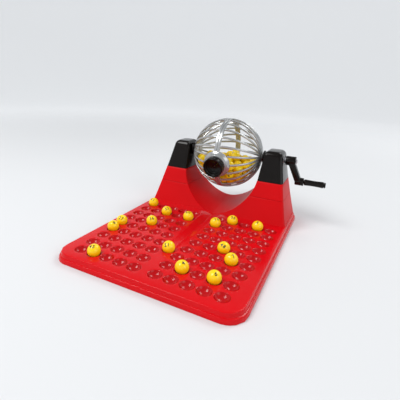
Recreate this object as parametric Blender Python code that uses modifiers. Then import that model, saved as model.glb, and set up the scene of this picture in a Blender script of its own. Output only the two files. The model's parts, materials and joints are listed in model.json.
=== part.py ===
"""Bingo cage: a globe cage of balls on two uprights, turned by a crank, over a tray with a seat for every ball.

Run it with blender --background --python part.py. Lengths are in metres. The origin is on the table, straight
under the middle of the cage. +Z is up, +X points to the crank and -Y to the player.
"""

import math

import bmesh
import bpy
import numpy as np
from mathutils import Matrix, Vector

MM = 0.001
GAP = 0.3 * MM

# Driving dimensions
BALL_R = 7.5 * MM
CAGE_R = 55 * MM
CAGE_WALL = 2.6 * MM
AXIS_Z = 95 * MM
DECK_Z = 10 * MM

# Tray
TRAY_REAR_Y = 36 * MM
TRAY_FRONT_Y = -264 * MM
TRAY_REAR_HALF = 113 * MM
TRAY_FRONT_HALF = 111 * MM
TRAY_REAR_RADIUS = 18 * MM
TRAY_FRONT_RADIUS = 22 * MM
# Height and inset of each edge of the stepped rim, from the table up
TRAY_STEPS = ((0, 0), (4.8 * MM, 0.9 * MM), (5.2 * MM, 2.1 * MM), (9.3 * MM, 3.2 * MM), (DECK_Z, 4 * MM))
POCKET_TOP = 3.2 * MM
POCKET_INSET = 5 * MM
CROSS_RIB_HALF = 3 * MM

# Ball seats: two fields of 5 columns by 9 rows, row 0 at the front
SEAT_COLUMNS = 5
SEAT_ROWS = 9
SEAT_PITCH = 17.9 * MM
SEAT_ROW_PITCH = 20.9 * MM
SEAT_FRONT_Y = -241 * MM
SEAT_INNER_X = 12.9 * MM
SEAT_SPREAD = 1.75 * MM
SEAT_SPREAD_ROWS = 4.5
SEAT_OPENING_R = 8.2 * MM
SEAT_DEPTH = 4.9 * MM
BALL_SINK = 4.3 * MM
CHANNEL_END_Y = -190 * MM
# Place, half width and depth of the valley that the called ball rolls down
CHANNEL_SECTIONS = (
    (-38 * MM, 18 * MM, 3.5 * MM), (-75 * MM, 12 * MM, 3.8 * MM), (CHANNEL_END_Y, 6.5 * MM, 4.2 * MM))

# Stand
STAND_TOP = 108 * MM
STAND_SEAM = 42.6 * MM
CAP_SEAM = 65 * MM
STAND_CORNER = 4 * MM
SADDLE_HALF = 58 * MM
SADDLE_SPRING_Z = 68 * MM
SADDLE_FRONT_FLOOR = 11.9 * MM
SADDLE_REAR_FLOOR = 16.8 * MM
SADDLE_POWER = 1.7
STAND_WALL = 3 * MM
# Height and inner edge of the hollow in each leg of the lower stand, from the deck up
LEG_HOLLOW = ((9 * MM, 36 * MM), (20 * MM, 43 * MM), (39 * MM, 53 * MM))
TONGUE_INSET = 5 * MM
TONGUE_ROOT = 5 * MM
CAP_CORNER = 5.5 * MM
CAP_WALL = 2.4 * MM
CAP_CEILING_Z = 104 * MM
# Height and inset of each edge of a cap, above its seam
CAP_STEPS = ((85 * MM, 0), (103 * MM, 0), (106.4 * MM, 1.3 * MM), (STAND_TOP, 4.5 * MM))

# Screws that hold the stand on the tray, from below
SCREW_PLACES = tuple((sx * 80 * MM, y) for sx in (-1, 1) for y in (-30 * MM, 14 * MM))
SCREW_R = 1.4 * MM
SCREW_HEAD_R = 3.4 * MM
SCREW_TIP_Z = 21 * MM
SCREW_SEAT_Z = 2.9 * MM
SCREW_HOLE_R = 2.3 * MM
PILOT_R = 1.8 * MM
PILOT_TOP_Z = 24 * MM
BOSS_R = 4.5 * MM
BOSS_TOP_Z = 40.5 * MM

# Turning parts
AXLE_R = 4 * MM
BUSH_R = 8 * MM
BUSH_FLANGE_R = 10.5 * MM
BUSH_BORE_R = AXLE_R + 0.15 * MM
BUSH_START_X = 57 * MM
FLANGE_SEAT_X = 59.2 * MM
BUSH_END_X = 79 * MM
RETAINER_X = 80.4 * MM
RETAINER_R = 7 * MM
RETAINER_THICK = 2.2 * MM
AXLE_START_X = CAGE_R - 2.3 * MM
AXLE_LEFT_END_X = 85 * MM
AXLE_RIGHT_END_X = 94.2 * MM
THREAD_R = 1.7 * MM
THREAD_START_X = 84 * MM
RIBS = 24
RIB_HALF = 1.45 * MM
RIB_START = 8
RIB_END = 87.5
BAND_HALF = 4.2 * MM
BAND_CROWN = 0.15 * MM
HUB_R = 11.5 * MM
HUB_NECK_R = 7 * MM
HUB_END_X = 56.6 * MM
OUTLET_DROP = math.radians(11)
COLLAR_R = 20.2 * MM
COLLAR_BORE_R = 12.4 * MM
COLLAR_FRONT = CAGE_R + 2.5 * MM
OUTLET_BORE_R = 8.7 * MM
OUTLET_R = 14.9 * MM
OUTLET_NECK_R = COLLAR_BORE_R - GAP
OUTLET_BACK = CAGE_R - 2.9 * MM
OUTLET_FRONT = 68 * MM
HEAP_R = CAGE_R - 4.1 * MM
HEAP_TOP = AXIS_Z - 1.5 * MM

# Crank
CRANK_HUB_X = 91 * MM
CRANK_FACE_X = 105 * MM
CRANK_DROP = 29 * MM
CRANK_REACH = 13 * MM
CRANK_HUB_R = 6.5 * MM
CRANK_END_R = 5.5 * MM
CRANK_THICK = 9.5 * MM
CRANK_SOCKET_END_X = 94.5 * MM
CRANK_BOSS_X = 107 * MM
HANDLE_PIN_X = 108.5 * MM
HANDLE_PIN_R = 2.4 * MM
HANDLE_PIN_HEAD_R = 4.1 * MM
GRIP_START_X = 119.8 * MM
GRIP_END_X = 146.6 * MM
GRIP_R = 4.6 * MM
GRIP_WAIST = 0.5 * MM
GRIP_BORE_R = 2.7 * MM

# Seats that hold a ball: side (-1 left, 1 right), column from the middle, row from the front
CALLED_SEATS = (
    (-1, 2, 5), (-1, 4, 3), (-1, 4, 4), (-1, 3, 0), (-1, 0, 7), (-1, 2, 7), (-1, 4, 8),
    (1, 1, 1), (1, 3, 1), (1, 2, 4), (1, 3, 3), (1, 0, 7), (1, 1, 8), (1, 3, 8),
)

TURN_STEPS = 24
TO_X = Matrix.Rotation(math.radians(90), 4, "Y")
TO_MINUS_X = Matrix.Rotation(math.radians(-90), 4, "Y")


# Scene helpers

def clear_scene():
    for obj in list(bpy.data.objects):
        bpy.data.objects.remove(obj, do_unlink=True)


def new_collection(name):
    made = bpy.data.collections.new(name)
    bpy.context.scene.collection.children.link(made)
    return made


def material(name, colour, roughness, metallic=0.0):
    made = bpy.data.materials.new(name)
    made.use_nodes = True
    shader = made.node_tree.nodes["Principled BSDF"]
    shader.inputs["Base Color"].default_value = (*colour, 1)
    shader.inputs["Roughness"].default_value = roughness
    shader.inputs["Metallic"].default_value = metallic
    return made


def add_object(name, mesh, finish=None):
    """A visible piece with its material, or a hidden cutter when it has no material."""
    obj = bpy.data.objects.new(name, mesh)
    if finish is None:
        CUTTERS.objects.link(obj)
        obj.hide_render = True
        obj.display_type = "WIRE"
    else:
        PARTS.objects.link(obj)
        mesh.materials.append(finish)
    return obj


def shade_round(obj, angle=35):
    obj.data.shade_smooth()
    obj.data.set_sharp_from_angle(angle=math.radians(angle))


def combine(obj, other, operation):
    step = obj.modifiers.new(f"{operation.lower()} {other.name}", "BOOLEAN")
    step.operation = operation
    step.object = other
    step.solver = "EXACT"


# Shape helpers

def rounded_quad(corners, radii, segments=4):
    """Points of a four-sided outline whose corners are rounded by quadratic arcs, in the corners' order."""
    corners = [Vector(c) for c in corners]
    points = []
    for i, corner in enumerate(corners):
        before = (corners[i - 1] - corner).normalized()
        after = (corners[(i + 1) % 4] - corner).normalized()
        reach = radii[i] / math.tan(before.angle(after) / 2)
        start, end = corner + before * reach, corner + after * reach
        for step in range(segments + 1):
            t = step / segments
            bulge = 2 * t * (1 - t)
            points.append(start * (1 - t) ** 2 + corner * bulge + end * t ** 2)
    return points


def loft(name, rings, finish=None):
    """A closed solid through rings of equal point counts, each counter-clockwise from the last ring's side."""
    size = len(rings[0])
    points = [tuple(p) for ring in rings for p in ring]
    faces = [tuple(range(size - 1, -1, -1)), tuple(range(len(points) - size, len(points)))]
    for level in range(len(rings) - 1):
        low = level * size
        for i in range(size):
            j = (i + 1) % size
            faces.append((low + i, low + j, low + size + j, low + size + i))
    mesh = bpy.data.meshes.new(name)
    mesh.from_pydata(points, [], faces)
    bm = bmesh.new()
    bm.from_mesh(mesh)
    bmesh.ops.recalc_face_normals(bm, faces=bm.faces)
    bmesh.ops.triangulate(bm, faces=[f for f in bm.faces if len(f.verts) > 4])
    bm.to_mesh(mesh)
    bm.free()
    return add_object(name, mesh, finish)


def turned(name, profile, finish=None, place=Matrix.Identity(4), steps=TURN_STEPS, ring=False):
    """A turned solid from (radius, height) points that run down the outer side, closed into a ring if asked."""
    mesh = bpy.data.meshes.new(name)
    edges = [(i, i + 1) for i in range(len(profile) - 1)]
    if ring:
        edges.append((len(profile) - 1, 0))
    mesh.from_pydata([(r, 0, h) for r, h in profile], edges, [])
    obj = add_object(name, mesh, finish)
    screw = obj.modifiers.new("turn", "SCREW")
    screw.steps = screw.render_steps = steps
    screw.use_merge_vertices = True
    screw.merge_threshold = 0.00001
    screw.use_smooth_shade = True
    obj.matrix_world = place
    return obj


def cylinder(name, radius, start, end, place, finish=None, steps=TURN_STEPS):
    return turned(name, [(0, end), (radius, end), (radius, start), (0, start)], finish, place, steps)


def sphere_group(name, centres, radius, rings, segments):
    """One mesh of equal spheres at the given centres, used as a cutter."""
    bm = bmesh.new()
    for centre in centres:
        place = Matrix.Translation(centre)
        bmesh.ops.create_uvsphere(bm, u_segments=segments, v_segments=rings, radius=radius, matrix=place)
    mesh = bpy.data.meshes.new(name)
    bm.to_mesh(mesh)
    bm.free()
    return add_object(name, mesh)


# Tray

def seat_centre(side, column, row):
    spread = SEAT_SPREAD * min(row, SEAT_SPREAD_ROWS)
    x = SEAT_INNER_X + spread + column * SEAT_PITCH
    return Vector((side * x, SEAT_FRONT_Y + row * SEAT_ROW_PITCH, DECK_Z))


def all_seats():
    return [
        seat_centre(side, column, row)
        for side in (-1, 1) for column in range(SEAT_COLUMNS) for row in range(SEAT_ROWS)
    ]


def tray_outline(height, inset, front_y=TRAY_FRONT_Y, rear_y=TRAY_REAR_Y, sharp=False):
    front, rear = front_y + inset, rear_y - inset
    taper = (TRAY_REAR_HALF - TRAY_FRONT_HALF) / (TRAY_REAR_Y - TRAY_FRONT_Y)
    front_half = TRAY_REAR_HALF - inset - taper * (TRAY_REAR_Y - front)
    rear_half = TRAY_REAR_HALF - inset - taper * (TRAY_REAR_Y - rear)
    corners = ((-front_half, front, height), (front_half, front, height),
               (rear_half, rear, height), (-rear_half, rear, height))
    front_radius = 2 * MM if sharp else TRAY_FRONT_RADIUS - inset
    rear_radius = 2 * MM if sharp else TRAY_REAR_RADIUS - inset
    return rounded_quad(corners, (front_radius, front_radius, rear_radius, rear_radius))


def channel_ring(y, half, depth):
    above = 1 * MM
    wide = half * (1 + above / depth)
    return [(-wide, y, DECK_Z + above), (0, y, DECK_Z - depth), (wide, y, DECK_Z + above)]


def build_tray():
    tray = loft("base_tray", [tray_outline(z, inset) for z, inset in TRAY_STEPS], RED)
    below = -1 * MM
    front_pocket = loft("pocket_front", [
        tray_outline(z, POCKET_INSET, rear_y=POCKET_INSET - CROSS_RIB_HALF) for z in (below, POCKET_TOP)])
    rear_pocket = loft("pocket_rear", [
        tray_outline(z, POCKET_INSET, front_y=CROSS_RIB_HALF - POCKET_INSET, sharp=True)
        for z in (below, POCKET_TOP)])
    seat_r = (SEAT_OPENING_R ** 2 + SEAT_DEPTH ** 2) / (2 * SEAT_DEPTH)
    seats = all_seats() + [Vector((0, CHANNEL_END_Y, DECK_Z))]
    lift = Vector((0, 0, seat_r - SEAT_DEPTH))
    dimples = sphere_group("seat_cutters", [s + lift for s in seats], seat_r, rings=6, segments=8)
    channel = loft("channel_cutter", [channel_ring(*section) for section in CHANNEL_SECTIONS])
    holes = [screw_hole(i, x, y) for i, (x, y) in enumerate(SCREW_PLACES)]
    for cutter in (front_pocket, rear_pocket, dimples, channel, *holes):
        combine(tray, cutter, "DIFFERENCE")
    return tray


# Stand

def stand_half(z):
    t = (z - DECK_Z) / (STAND_TOP - DECK_Z)
    return (107 - 25 * t + 5 * t ** 2) * MM


def stand_front(z):
    return -(50.5 - 33.5 * (z - DECK_Z) / (STAND_TOP - DECK_Z)) * MM


def stand_rear(z):
    return (27 - 9 * (z - DECK_Z) / (STAND_TOP - DECK_Z)) * MM


def saddle_half(z, floor):
    """Half the gap between the uprights: a superellipse below its springing, nearly straight above."""
    if z >= SADDLE_SPRING_Z:
        return SADDLE_HALF + 0.1 * (z - SADDLE_SPRING_Z)
    drop = (SADDLE_SPRING_Z - z) / (SADDLE_SPRING_Z - floor)
    return SADDLE_HALF * max(0.0, 1 - drop ** SADDLE_POWER) ** (1 / SADDLE_POWER)


def upright_ring(side, z, inset=0.0, radius=STAND_CORNER):
    front, rear, outer = stand_front(z) + inset, stand_rear(z) - inset, stand_half(z) - inset
    inner_front = saddle_half(z, SADDLE_FRONT_FLOOR) + inset
    inner_rear = saddle_half(z, SADDLE_REAR_FLOOR) + inset
    corners = [(inner_front, front, z), (outer, front, z), (outer, rear, z), (inner_rear, rear, z)]
    if side < 0:
        corners = [(-x, y, z) for x, y, _ in reversed(corners)]
    return rounded_quad(corners, [radius] * 4, segments=3)


def saddle_cutter():
    """The U-shaped space between the uprights, whose floor falls towards the front."""
    rings = []
    for y, floor in ((-60 * MM, SADDLE_FRONT_FLOOR), (40 * MM, SADDLE_REAR_FLOOR)):
        heights = floor + (SADDLE_SPRING_Z - floor) * (1 - np.cos(np.linspace(0, math.pi / 2, 9)))
        right = [(saddle_half(z, floor), y, z) for z in heights]
        top = [(SADDLE_HALF, y, STAND_TOP), (-SADDLE_HALF, y, STAND_TOP)]
        left = [(-x, y, z) for x, y, z in reversed(right[1:])]
        rings.append(right + top + left)
    return loft("saddle_cutter", rings)


def build_cradle():
    low, high = DECK_Z + GAP, STAND_SEAM - GAP / 2
    rings = []
    for z in np.linspace(low, high, 4):
        half, front, rear = stand_half(z), stand_front(z), stand_rear(z)
        corners = ((-half, front, z), (half, front, z), (half, rear, z), (-half, rear, z))
        rings.append(rounded_quad(corners, [STAND_CORNER] * 4, segments=3))
    cradle = loft("chute_cradle", rings, RED)
    combine(cradle, saddle_cutter(), "DIFFERENCE")
    for side, word in ((-1, "left"), (1, "right")):
        pocket = []
        for z, inner in LEG_HOLLOW:
            front, rear = stand_front(z) + STAND_WALL, stand_rear(z) - STAND_WALL
            outer = stand_half(z) - STAND_WALL
            corners = [(inner, front, z), (outer, front, z), (outer, rear, z), (inner, rear, z)]
            if side < 0:
                corners = [(-x, y, h) for x, y, h in reversed(corners)]
            pocket.append(rounded_quad(corners, [2 * MM] * 4, segments=2))
        combine(cradle, loft(f"cradle_pocket_{word}", pocket), "DIFFERENCE")
    for i, (x, y) in enumerate(SCREW_PLACES):
        place = Matrix.Translation((x, y, 0))
        boss = cylinder(f"screw_boss_{i}", BOSS_R, DECK_Z + GAP, BOSS_TOP_Z, place, steps=12)
        combine(cradle, boss, "UNION")
    for i, (x, y) in enumerate(SCREW_PLACES):
        pilot = cylinder(f"pilot_{i}", PILOT_R, 0, PILOT_TOP_Z, Matrix.Translation((x, y, 0)), steps=10)
        combine(cradle, pilot, "DIFFERENCE")
    return cradle


def build_upright(side, word):
    low, high = STAND_SEAM + GAP / 2, CAP_SEAM - GAP / 2
    upright = loft(f"upright_{word}", [upright_ring(side, z) for z in np.linspace(low, high, 4)], RED)
    tongue = loft(f"tongue_{word}", [
        upright_ring(side, z, TONGUE_INSET, STAND_CORNER / 2)
        for z in (CAP_SEAM - TONGUE_ROOT + 1 * MM, AXIS_Z)])
    hollow = loft(f"upright_hollow_{word}", [
        upright_ring(side, z, STAND_WALL, STAND_CORNER / 2)
        for z in (STAND_SEAM - 2 * MM, CAP_SEAM - TONGUE_ROOT)])
    place = Matrix.Translation((0, 0, AXIS_Z)) @ TO_X
    notch = cylinder(f"notch_{word}", BUSH_R + GAP, -TRAY_REAR_HALF, TRAY_REAR_HALF, place)
    combine(upright, hollow, "DIFFERENCE")
    combine(upright, tongue, "UNION")
    combine(upright, notch, "DIFFERENCE")
    return upright


def build_cap(side, word):
    levels = ((CAP_SEAM + GAP / 2, 0), *CAP_STEPS)
    rings = [upright_ring(side, z, inset, CAP_CORNER) for z, inset in levels]
    cap = loft(f"bearing_cap_{word}", rings, BLACK)
    hollow = loft(f"cap_hollow_{word}", [
        upright_ring(side, z, CAP_WALL, CAP_CORNER - CAP_WALL)
        for z in (CAP_SEAM - 2 * MM, CAP_CEILING_Z)])
    place = Matrix.Translation((0, 0, AXIS_Z)) @ (TO_X if side > 0 else TO_MINUS_X)
    combine(cap, hollow, "DIFFERENCE")
    combine(cap, cylinder(f"bush_hole_{word}", BUSH_R + GAP, CAGE_R, BUSH_END_X - 7 * MM, place), "DIFFERENCE")
    if side > 0:
        hole = cylinder("axle_hole", AXLE_R + 2 * GAP, BUSH_END_X - 7 * MM, TRAY_REAR_HALF, place)
        combine(cap, hole, "DIFFERENCE")
    return cap


def build_bush(side, word):
    place = Matrix.Translation((0, 0, AXIS_Z)) @ (TO_X if side > 0 else TO_MINUS_X)
    bevel = 1 * MM
    profile = [(BUSH_R, BUSH_END_X), (BUSH_R, FLANGE_SEAT_X), (BUSH_FLANGE_R, FLANGE_SEAT_X),
               (BUSH_FLANGE_R, BUSH_START_X + bevel), (BUSH_FLANGE_R - bevel, BUSH_START_X),
               (BUSH_BORE_R, BUSH_START_X), (BUSH_BORE_R, BUSH_END_X)]
    return turned(f"bearing_bush_{word}", profile, BLACK, place, ring=True)


# Screws

def screw_hole(i, x, y):
    place = Matrix.Translation((x, y, 0))
    return cylinder(f"tray_hole_{i}", SCREW_HOLE_R, -DECK_Z, 2 * DECK_Z, place, steps=10)


def build_base_screw(name, x, y):
    bevel = 1 * MM
    profile = [(0, SCREW_TIP_Z), (SCREW_R, SCREW_TIP_Z - bevel), (SCREW_R, SCREW_SEAT_Z),
               (SCREW_HEAD_R, SCREW_SEAT_Z), (SCREW_HEAD_R, SCREW_SEAT_Z - bevel),
               (SCREW_HEAD_R - bevel, SCREW_SEAT_Z - 2 * bevel), (0, SCREW_SEAT_Z - 2 * bevel)]
    return turned(name, profile, STEEL, Matrix.Translation((x, y, 0)), steps=10)


# Cage

def outlet_place():
    """Turns +Z to the outlet's direction: forwards and down, about the cage's axis."""
    return Matrix.Translation((0, 0, AXIS_Z)) @ Matrix.Rotation(math.pi / 2 + OUTLET_DROP, 4, "X")


def rib_curves(name, side):
    """Meridian ribs from the pole's hub to the middle band, one of them in line with the outlet."""
    curve = bpy.data.curves.new(name, "CURVE")
    curve.dimensions = "3D"
    curve.bevel_depth = RIB_HALF
    curve.bevel_resolution = 0
    curve.use_fill_caps = True
    reach = CAGE_R - RIB_HALF
    polar = np.radians(np.linspace(RIB_START, RIB_END, 8))
    for k in range(RIBS):
        turn = -OUTLET_DROP + 2 * math.pi * k / RIBS
        spline = curve.splines.new("POLY")
        spline.points.add(len(polar) - 1)
        for point, angle in zip(spline.points, polar):
            out = reach * math.sin(angle)
            across = side * reach * math.cos(angle)
            point.co = (across, -out * math.cos(turn), AXIS_Z + out * math.sin(turn), 1)
    guide = bpy.data.objects.new(name, curve)
    CUTTERS.objects.link(guide)
    bpy.context.view_layer.update()
    mesh = bpy.data.meshes.new_from_object(guide.evaluated_get(bpy.context.evaluated_depsgraph_get()))
    bpy.data.objects.remove(guide)
    bm = bmesh.new()
    bm.from_mesh(mesh)
    bmesh.ops.remove_doubles(bm, verts=bm.verts, dist=0.000001)
    bmesh.ops.recalc_face_normals(bm, faces=bm.faces)
    bm.to_mesh(mesh)
    bm.free()
    mesh.materials.clear()
    return add_object(name, mesh)


def build_cage_half(side, word, outlet_cutter):
    place = Matrix.Translation((0, 0, AXIS_Z)) @ (TO_X if side > 0 else TO_MINUS_X)
    inner = CAGE_R - CAGE_WALL
    bore = AXLE_R + GAP
    band = [(CAGE_R - BAND_CROWN, BAND_HALF), (CAGE_R, GAP / 2), (inner, GAP / 2),
            (inner - BAND_CROWN, BAND_HALF)]
    half = turned(f"cage_half_{word}", band, SILVER, place, steps=48, ring=True)
    hub = [(HUB_NECK_R, HUB_END_X), (HUB_NECK_R, CAGE_R + 0.1 * MM), (HUB_R, CAGE_R - 1.3 * MM),
           (HUB_R, CAGE_R - 3.3 * MM), (bore, CAGE_R - 2.5 * MM), (bore, HUB_END_X)]
    combine(half, rib_curves(f"ribs_{word}", side), "UNION")
    combine(half, turned(f"hub_{word}", hub, None, place, ring=True), "UNION")
    combine(half, outlet_cutter, "DIFFERENCE")
    return half


def build_outlet():
    place = outlet_place()
    collar = [(16 * MM, COLLAR_FRONT), (16.4 * MM, CAGE_R - 0.1 * MM), (18 * MM, CAGE_R - 2.5 * MM),
              (COLLAR_R, CAGE_R - 4.1 * MM), (COLLAR_R, CAGE_R - 6.1 * MM),
              (COLLAR_BORE_R, CAGE_R - 3.1 * MM), (COLLAR_BORE_R, COLLAR_FRONT)]
    turned("outlet_collar", collar, SILVER, place, ring=True)
    bevel = 1.4 * MM
    shoulder, step = COLLAR_FRONT + GAP, OUTLET_FRONT - 4.2 * MM
    tube = [(OUTLET_R - bevel, OUTLET_FRONT), (OUTLET_R, OUTLET_FRONT - bevel), (OUTLET_R, shoulder),
            (OUTLET_NECK_R, shoulder), (OUTLET_NECK_R, OUTLET_BACK), (OUTLET_BORE_R, OUTLET_BACK),
            (OUTLET_BORE_R, step - GAP), (11.2 * MM, step), (11.6 * MM, OUTLET_FRONT)]
    turned("outlet_tube", tube, BLACK, place, ring=True)


def build_axles():
    left = Matrix.Translation((0, 0, AXIS_Z)) @ TO_MINUS_X
    right = Matrix.Translation((0, 0, AXIS_Z)) @ TO_X
    cylinder("axle_left", AXLE_R, AXLE_START_X, AXLE_LEFT_END_X, left, STEEL)
    ends = RETAINER_X, RETAINER_X + RETAINER_THICK
    bore = AXLE_R + GAP
    retainer = [(RETAINER_R, ends[1]), (RETAINER_R, ends[0]), (bore, ends[0]), (bore, ends[1])]
    turned("axle_retainer", retainer, STEEL, left, ring=True)
    profile = [(AXLE_R, AXLE_RIGHT_END_X), (AXLE_R, AXLE_START_X), (0, AXLE_START_X), (0, THREAD_START_X),
               (THREAD_R, THREAD_START_X), (THREAD_R, AXLE_RIGHT_END_X)]
    turned("axle_right", profile, STEEL, right, ring=True)


def build_heap():
    """The balls that lie in the cage, as one body with their outer shape."""
    bm = bmesh.new()
    place = Matrix.Translation((0, 0, AXIS_Z))
    bmesh.ops.create_uvsphere(bm, u_segments=20, v_segments=12, radius=HEAP_R, matrix=place)
    geometry = bm.verts[:] + bm.edges[:] + bm.faces[:]
    top = (0, 0, HEAP_TOP)
    cut = bmesh.ops.bisect_plane(bm, geom=geometry, plane_co=top, plane_no=(0, 0, 1), clear_outer=True)
    rim = [e for e in cut["geom_cut"] if isinstance(e, bmesh.types.BMEdge)]
    bmesh.ops.contextual_create(bm, geom=rim)
    bmesh.ops.recalc_face_normals(bm, faces=bm.faces)
    mesh = bpy.data.meshes.new("ball_heap")
    bm.to_mesh(mesh)
    bm.free()
    return add_object("ball_heap", mesh, YELLOW)


# Crank

def crank_outline(x_offset):
    """A bar with round ends in the YZ plane, leaning outwards as it goes down."""
    ring = []
    ends = ((AXIS_Z, CRANK_HUB_R, 0), (AXIS_Z - CRANK_DROP, CRANK_END_R, math.pi))
    for centre_z, radius, start in ends:
        for angle in start + np.linspace(0, math.pi, 9):
            y, z = radius * math.cos(angle), centre_z + radius * math.sin(angle)
            lean = (AXIS_Z - z) * CRANK_REACH / CRANK_DROP
            ring.append((CRANK_HUB_X + 2.6 * MM + lean + x_offset, y, z))
    return ring


def build_crank():
    top = Matrix.Translation((0, 0, AXIS_Z)) @ TO_X
    low = Matrix.Translation((0, 0, AXIS_Z - CRANK_DROP)) @ TO_X
    arm = loft("crank_arm", [crank_outline(0), crank_outline(CRANK_THICK)], BLACK)
    hub = cylinder("crank_hub", CRANK_HUB_R + 0.4 * MM, CRANK_HUB_X, CRANK_FACE_X, top)
    boss = cylinder("crank_boss", CRANK_END_R + GAP, CRANK_BOSS_X, GRIP_START_X - 2 * GAP, low)
    combine(arm, hub, "UNION")
    combine(arm, boss, "UNION")
    socket = AXLE_R + GAP
    start, end = CRANK_HUB_X - 6 * MM, CRANK_FACE_X + 5 * MM
    bore = [(0, end), (THREAD_R, end), (THREAD_R, CRANK_SOCKET_END_X), (socket, CRANK_SOCKET_END_X),
            (socket, start), (0, start)]
    combine(arm, turned("crank_bore", bore, None, top, steps=14), "DIFFERENCE")
    end = GRIP_START_X + 5 * MM
    pin_hole = cylinder("handle_pin_hole", HANDLE_PIN_R + GAP, HANDLE_PIN_X, end, low, steps=16)
    combine(arm, pin_hole, "DIFFERENCE")
    seat = CRANK_FACE_X + GAP
    crown, tip = seat + 1.7 * MM, THREAD_START_X + 1.4 * MM
    screw = [(0, crown), (2 * MM, crown), (3.2 * MM, seat + 0.9 * MM), (3.2 * MM, seat), (SCREW_R, seat),
             (SCREW_R, tip + 0.6 * MM), (0, tip)]
    turned("crank_screw", screw, STEEL, top, steps=12)
    head = GRIP_END_X + GAP
    crown, bevel, tip = head + 2.1 * MM, 0.8 * MM, HANDLE_PIN_X + GAP
    pin = [(0, crown), (HANDLE_PIN_HEAD_R - bevel, crown), (HANDLE_PIN_HEAD_R, crown - bevel),
           (HANDLE_PIN_HEAD_R, head), (HANDLE_PIN_R, head), (HANDLE_PIN_R, tip), (0, tip)]
    turned("crank_handle_pin", pin, BLACK, low, steps=16)
    middle = (GRIP_START_X + GRIP_END_X) / 2
    bevel = 1 * MM
    grip = [(GRIP_R - bevel, GRIP_END_X), (GRIP_R, GRIP_END_X - bevel), (GRIP_R - GRIP_WAIST, middle),
            (GRIP_R, GRIP_START_X + bevel), (GRIP_R - bevel, GRIP_START_X), (GRIP_BORE_R, GRIP_START_X),
            (GRIP_BORE_R, GRIP_END_X)]
    turned("crank_grip", grip, BLACK, low, steps=16, ring=True)


# Balls on the tray

def build_tray_balls():
    rise = Vector((0, 0, BALL_R - BALL_SINK))
    places = [seat_centre(*seat) for seat in CALLED_SEATS] + [Vector((0, CHANNEL_END_Y, DECK_Z))]
    for number, place in enumerate(places, 1):
        bm = bmesh.new()
        bmesh.ops.create_icosphere(bm, subdivisions=2, radius=BALL_R)
        mesh = bpy.data.meshes.new(f"called_ball_{number:02d}")
        bm.to_mesh(mesh)
        bm.free()
        ball = add_object(f"called_ball_{number:02d}", mesh, YELLOW)
        ball.location = place + rise
        shade_round(ball, 80)


clear_scene()
PARTS = new_collection("bingo_cage")
CUTTERS = new_collection("cutters")
CUTTERS.hide_render = True
RED = material("red_plastic", (0.72, 0.01, 0.02), 0.18)
BLACK = material("black_plastic", (0.012, 0.011, 0.010), 0.22)
SILVER = material("silver_plastic", (0.62, 0.64, 0.64), 0.3)
YELLOW = material("yellow_plastic", (0.95, 0.72, 0.02), 0.25)
STEEL = material("steel", (0.55, 0.55, 0.57), 0.3, 1.0)

build_tray()
build_cradle()
for side, word in ((-1, "left"), (1, "right")):
    build_upright(side, word)
    build_cap(side, word)
    build_bush(side, word)
for i, (x, y) in enumerate(SCREW_PLACES, 1):
    build_base_screw(f"base_screw_{i}", x, y)
outlet_cutter = cylinder("outlet_cutter", COLLAR_R + GAP, 0.7 * CAGE_R, OUTLET_FRONT, outlet_place())
for side, word in ((-1, "left"), (1, "right")):
    build_cage_half(side, word, outlet_cutter)
build_outlet()
build_axles()
build_heap()
build_crank()
build_tray_balls()
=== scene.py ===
"""Looks of a bingo cage: a globe cage of numbered balls on two uprights, over a tray with a seat for every ball."""

import itertools
import json
import logging
import math
from dataclasses import dataclass, field
from enum import Enum
from typing import Sequence

import bmesh
import bpy
import numpy as np
from mathutils import Matrix, Vector

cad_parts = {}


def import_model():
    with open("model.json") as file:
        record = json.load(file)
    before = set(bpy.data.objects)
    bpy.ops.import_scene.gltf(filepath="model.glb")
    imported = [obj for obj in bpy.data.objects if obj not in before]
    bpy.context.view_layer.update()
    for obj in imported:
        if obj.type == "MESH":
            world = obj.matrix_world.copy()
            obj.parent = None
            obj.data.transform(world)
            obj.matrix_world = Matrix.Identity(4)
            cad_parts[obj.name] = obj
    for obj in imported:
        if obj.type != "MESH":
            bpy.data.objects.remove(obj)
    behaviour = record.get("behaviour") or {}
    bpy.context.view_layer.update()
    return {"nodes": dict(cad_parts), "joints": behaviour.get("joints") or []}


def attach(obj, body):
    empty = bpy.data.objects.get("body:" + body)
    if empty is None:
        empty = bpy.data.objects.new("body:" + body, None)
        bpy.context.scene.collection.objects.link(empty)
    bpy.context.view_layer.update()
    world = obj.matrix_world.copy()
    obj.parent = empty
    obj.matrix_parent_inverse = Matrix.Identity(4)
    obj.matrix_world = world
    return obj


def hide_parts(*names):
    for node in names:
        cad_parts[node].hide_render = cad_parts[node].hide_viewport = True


LOG = logging.getLogger("bingo_cage")
MM = 0.001
GAP = 0.3 * MM  # seam between parts that stand on each other
WELD = 0.001 * MM  # points closer than this are one
TINY = 1e-9  # keeps a division away from zero
ARC_SHARE = 0.45  # largest share of a side that a corner's arc takes
CIRCLE = 2 * math.pi
Pairs = tuple[tuple[float, float], ...]
Triple = tuple[float, float, float]


class Side(Enum):
    """The two ends of the cage's axle; the value is the sign of X."""

    LEFT = -1
    RIGHT = 1

    @property
    def word(self) -> str:
        """The side's name in lower case."""
        return self.name.lower()


class Body(Enum):
    """The moving bodies of the frame."""

    STAND = "stand"
    CAGE = "cage"
    GRIP = "grip"
    HEAP = "heap"


class Slot(Enum):
    """The record's material slots that new pieces use."""

    RED = "red_plastic"
    BLACK = "black_plastic"
    SILVER = "silver_plastic"
    YELLOW = "yellow_plastic"


# Surfaces


@dataclass
class Surface:
    """A mesh in arrays: points, and faces as lists of corner indices.

    Args:
        points: Corner places, one row each.
        faces: Faces by index into points, counter-clockwise from outside.
        slots: Material slot of each face, or empty where all use the first.
    """

    points: np.ndarray
    faces: list[Sequence[int]]
    slots: list[int] = field(default_factory=list)


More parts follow.
